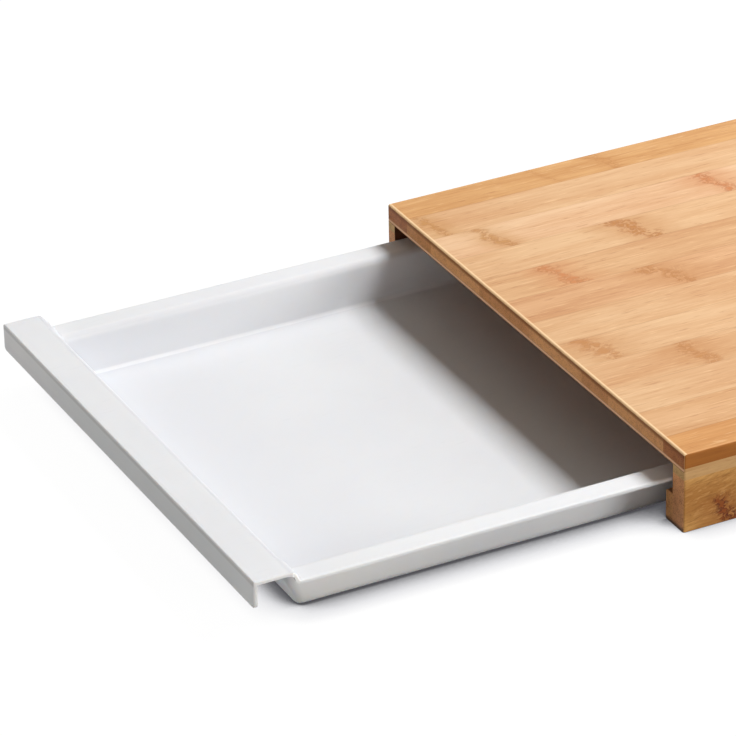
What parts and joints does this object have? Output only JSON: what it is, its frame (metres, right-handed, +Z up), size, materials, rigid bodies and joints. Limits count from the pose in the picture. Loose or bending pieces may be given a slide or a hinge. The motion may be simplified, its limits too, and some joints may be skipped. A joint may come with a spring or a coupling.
{
  "type": "cutting board with catch tray",
  "caption": "Low bamboo cutting board on side rails with a white plastic catch tray that slides out of one end.",
  "frame": {"origin": "middle of the footprint with the tray in its rest place, at worktop level", "axes": "+X from the tray's handle into the board, +Y from front to back, +Z up out of the cutting surface"},
  "size_m": [0.5838, 0.28, 0.039],
  "materials": {
    "bamboo_top": "satin",
    "bamboo_amber": "satin",
    "bamboo_light": "satin",
    "bamboo_rail": "satin",
    "white_plastic": "satin"
  },
  "bodies": {
    "board": {"top_stave_01": "bamboo_top", "top_stave_02": "bamboo_top", "top_stave_03": "bamboo_top", "top_stave_04": "bamboo_top", "top_stave_05": "bamboo_top", "top_stave_06": "bamboo_top", "top_stave_07": "bamboo_top", "top_stave_08": "bamboo_top", "top_stave_09": "bamboo_top", "top_stave_10": "bamboo_top", "top_stave_11": "bamboo_top", "top_stave_12": "bamboo_amber", "backing_ply": "bamboo_light", "front_side_wall": "bamboo_rail", "front_side_cap": "bamboo_light", "back_side_wall": "bamboo_rail", "back_side_cap": "bamboo_light", "front_runner": "bamboo_rail", "back_runner": "bamboo_rail", "rear_rail": "bamboo_rail", "rear_rail_cap": "bamboo_light"},
    "tray": {"drawer_tray": "white_plastic"}
  },
  "joints": [
    {"name": "tray_slide", "type": "slide", "parent": "board", "child": "tray", "axis": [-1, 0, 0], "range_m": [-0.1842, 0.1488]}
  ]
}
